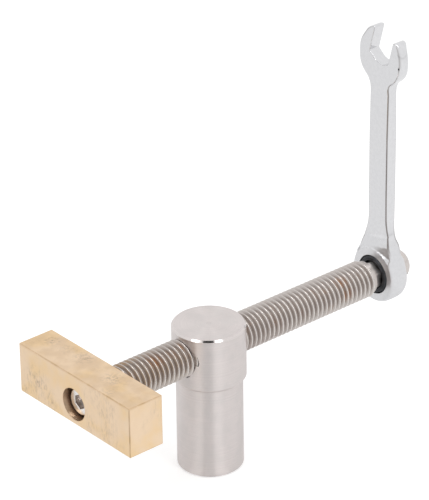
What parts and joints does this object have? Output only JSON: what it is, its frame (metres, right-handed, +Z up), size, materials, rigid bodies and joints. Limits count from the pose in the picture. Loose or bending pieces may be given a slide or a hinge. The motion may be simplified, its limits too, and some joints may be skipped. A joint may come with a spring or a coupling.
{
  "type": "bench dog clamp",
  "caption": "Bench dog clamp: a stepped steel dog post with a clamp screw across its head, a swivelling brass jaw and a small ratchet wrench on the screw's hex end.",
  "frame": {"origin": "on the dog post's axis at the plane of the bench top, where the shank meets the head", "axes": "+Z up along the post, +Y along the clamp screw from the jaw to the wrench, +X along the jaw"},
  "size_m": [0.05, 0.1279, 0.1207],
  "materials": {
    "stainless": "fine turned satin",
    "screw_steel": "rolled thread with light rust in its grooves",
    "brass": "pale milled brass with smudges",
    "bolt_steel": "bright satin",
    "chrome": "polished plate",
    "black_oxide": "matt black oxide",
    "spring_steel": "bright drawn wire"
  },
  "bodies": {
    "post": {"dog_post": "stainless"},
    "keeper": {"jaw_washer": "bolt_steel"},
    "jaw": {"jaw_block": "brass"},
    "screw": {"clamp_screw": "screw_steel", "jaw_bolt": "bolt_steel"},
    "gear": {"ratchet_gear": "black_oxide"},
    "wrench": {"wrench_body": "chrome", "gear_snap_ring": "black_oxide", "pawl_spring": "spring_steel"},
    "pawl": {"ratchet_pawl": "black_oxide"}
  },
  "joints": [
    {"name": "jaw_slide", "type": "slide", "parent": "post", "child": "keeper", "axis": [0, 1, 0], "range_m": [-0.05, 0.027]},
    {"name": "screw_turn", "type": "hinge", "parent": "keeper", "child": "screw", "pos_m": [0, 0, 0.0102], "axis": [0, 1, 0], "range_deg": [-10290, 5560]},
    {"name": "jaw_swivel", "type": "hinge", "parent": "keeper", "child": "jaw", "pos_m": [0, -0.0433, 0.0102], "axis": [0, 1, 0], "continuous": true},
    {"name": "wrench_pull_off", "type": "slide", "parent": "screw", "child": "gear", "axis": [0, 1, 0], "range_m": [-0.0022, 0.0149]},
    {"name": "wrench_ratchet", "type": "hinge", "parent": "gear", "child": "wrench", "pos_m": [0, 0.069, 0.0102], "axis": [0, 1, 0], "continuous": true},
    {"name": "pawl_retract", "type": "slide", "parent": "wrench", "child": "pawl", "axis": [0, 0, 1], "range_m": [0, 0.00045], "stiffness_N_per_m": 300, "springref_m": -0.0005, "deforming": ["pawl_spring"]}
  ],
  "couplings": [
    {"joint": "screw_turn", "follows": "jaw_slide", "rad_per_m": 3590.4}
  ]
}
